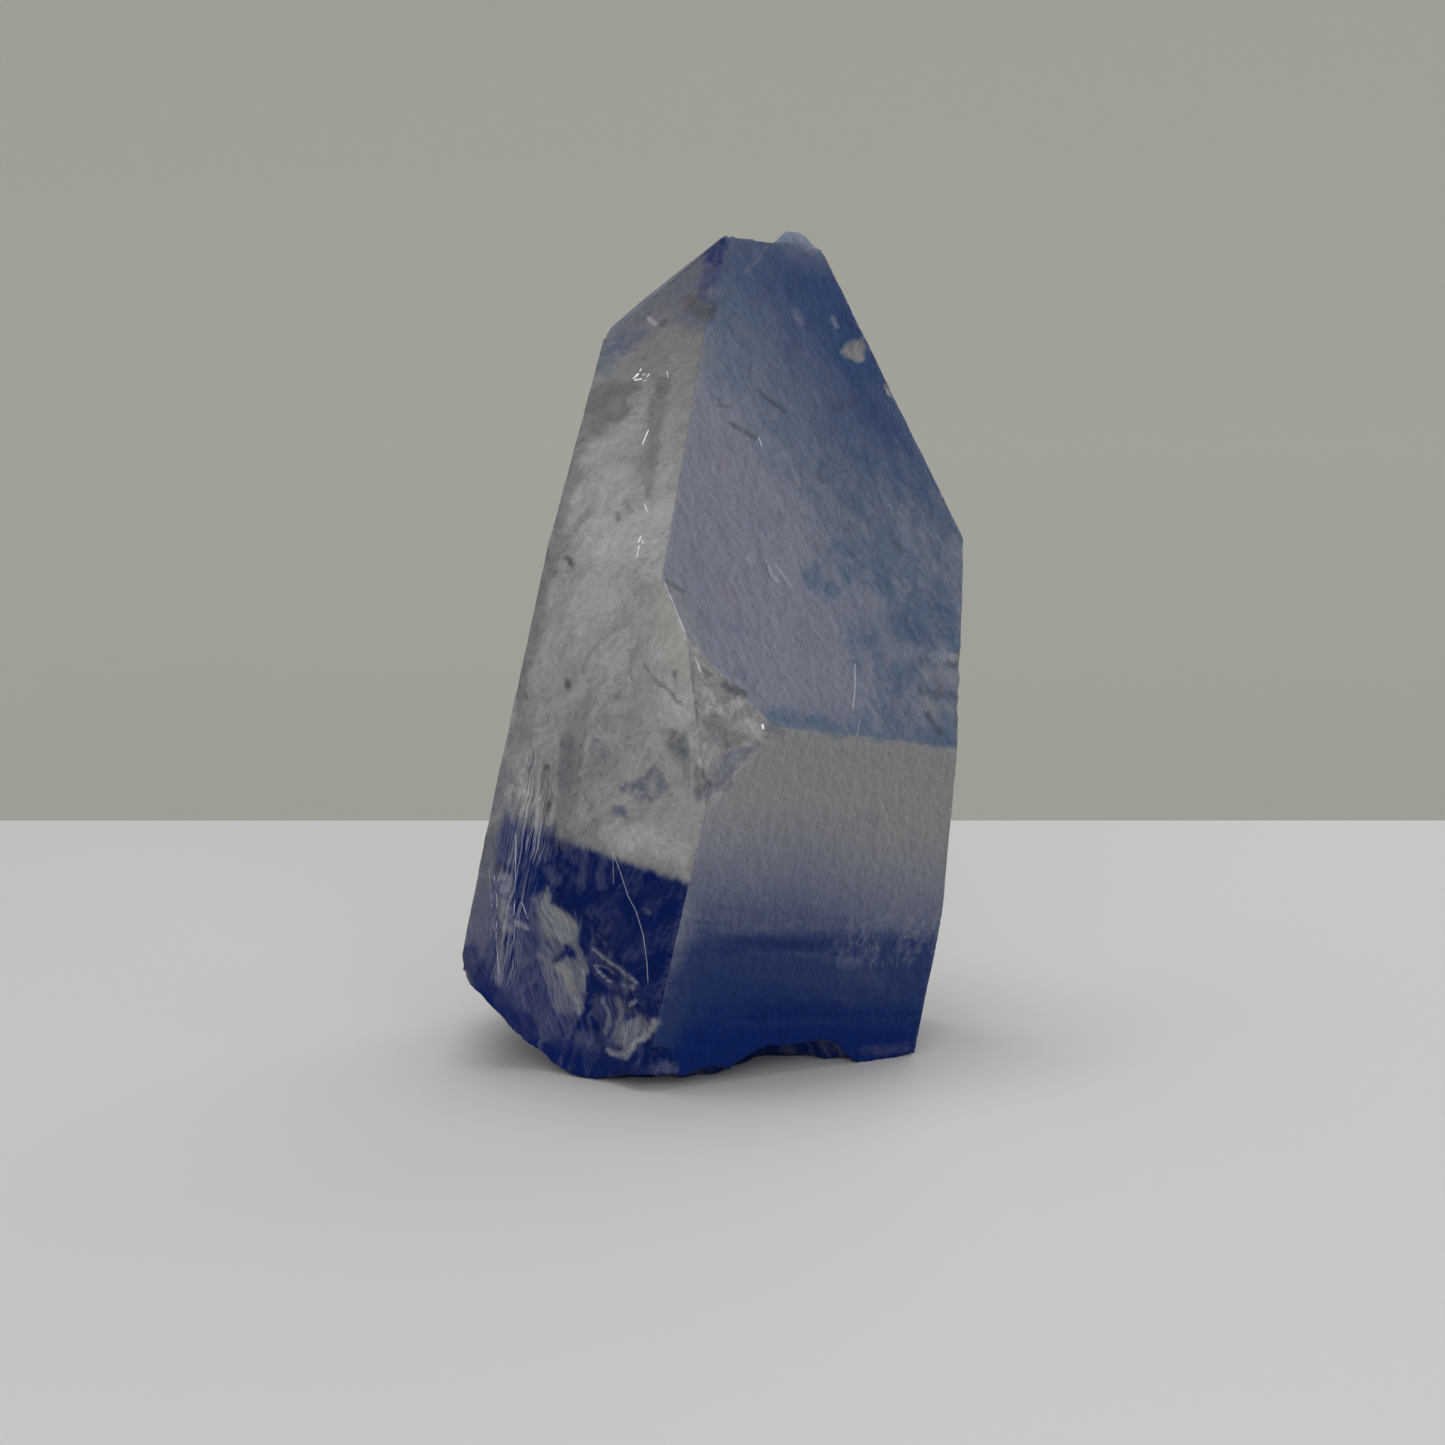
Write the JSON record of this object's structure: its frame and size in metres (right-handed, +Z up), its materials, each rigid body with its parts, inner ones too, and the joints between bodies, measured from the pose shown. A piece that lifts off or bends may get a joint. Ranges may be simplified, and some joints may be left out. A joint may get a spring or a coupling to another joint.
{
  "type": "quartz crystal coloured by dumortierite",
  "caption": "Single natural quartz point with blue dumortierite colouring, standing a little askew on its broken root.",
  "frame": {"origin": "on the ground under the middle of the crystal's box", "axes": "+Z up, -Y towards the side that shows the broad point face, +X to its right; the long axis leans about 11 degrees towards +X and 3 degrees towards -Y"},
  "size_m": [0.0194, 0.0188, 0.0315],
  "materials": {
    "crystal": "frosted to clear quartz with deep blue zones"
  },
  "bodies": {
    "root": {"crystal": "crystal"}
  },
  "joints": []
}
